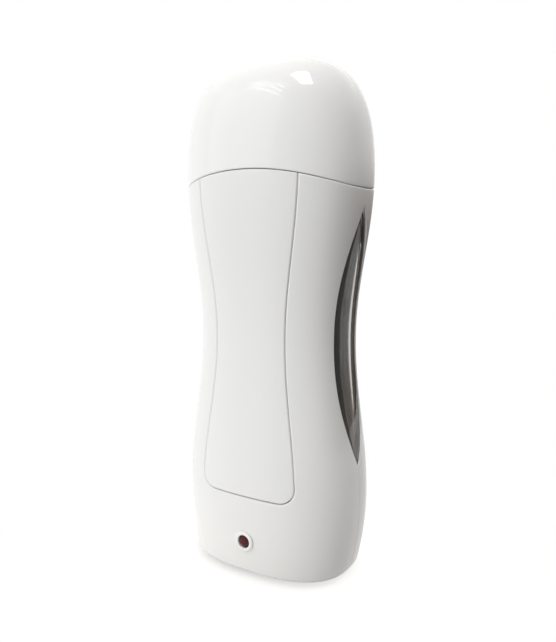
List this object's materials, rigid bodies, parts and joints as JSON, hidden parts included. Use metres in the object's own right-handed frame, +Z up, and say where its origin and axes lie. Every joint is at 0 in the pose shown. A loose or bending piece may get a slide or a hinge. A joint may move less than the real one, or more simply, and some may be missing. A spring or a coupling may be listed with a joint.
{
  "type": "roll-on wax heater",
  "caption": "Hand-held roll-on wax cartridge heater with pull-off cap, hinged front door, clear side windows, indicator lamp and rear inlet.",
  "frame": {"origin": "middle of the foot pad's lower face, on the surface that it stands on", "axes": "+Z up along the body, -Y out of the front door, +X to the right seen from the front"},
  "size_m": [0.0776, 0.0533, 0.205],
  "materials": {
    "case_white": "glossy moulded white",
    "cap_white": "glossy moulded white",
    "door_white": "glossy moulded white",
    "inner_grey": "matte heat-resistant moulding",
    "collar_white": "satin moulded",
    "window_clear": "clear polished acrylic",
    "lamp_red": "clear dark red",
    "aluminium_sleeve": "drawn sheet",
    "spring_steel": "rolled strip",
    "plated_steel": "bright plated",
    "ceramic_tan": "wrapped heating block",
    "sheet_mica": "insulating sheet",
    "phenolic_brown": "moulded resin",
    "board_green": "coated laminate",
    "inlet_black": "fine texture",
    "wire_brown": "insulated lead",
    "wire_blue": "insulated lead",
    "wire_white": "glass-braid lead",
    "pad_grey": "soft foot pad"
  },
  "bodies": {
    "case": {"front_shell": "case_white", "back_shell": "case_white", "neck_collar": "collar_white", "bay_frame": "inner_grey", "heat_sleeve": "aluminium_sleeve", "heating_element": "ceramic_tan", "element_strap": "spring_steel", "strap_screws": "plated_steel", "insulation_sheet": "sheet_mica", "thermostat": "phenolic_brown", "thermal_fuse": "plated_steel", "circuit_board": "board_green", "indicator_lamp": "lamp_red", "indicator_ring": "case_white", "inlet_socket": "inlet_black", "inlet_pins": "plated_steel", "live_wire": "wire_brown", "neutral_wire": "wire_blue", "link_wires": "wire_white", "lamp_wires": "wire_white", "case_screws": "plated_steel", "foot_pad": "pad_grey", "window_right": "window_clear", "window_left": "window_clear"},
    "cap": {"cap": "cap_white"},
    "door": {"door_panel": "door_white", "door_springs": "spring_steel", "spring_rivets": "plated_steel", "hinge_pin": "plated_steel"}
  },
  "joints": [
    {"name": "cap_lift", "type": "slide", "parent": "case", "child": "cap", "axis": [0, 0, 1], "range_m": [0, 0.06]},
    {"name": "door_hinge", "type": "hinge", "parent": "case", "child": "door", "pos_m": [0, -0.02212, 0.0485], "axis": [1, 0, 0], "range_deg": [0, 20]}
  ]
}
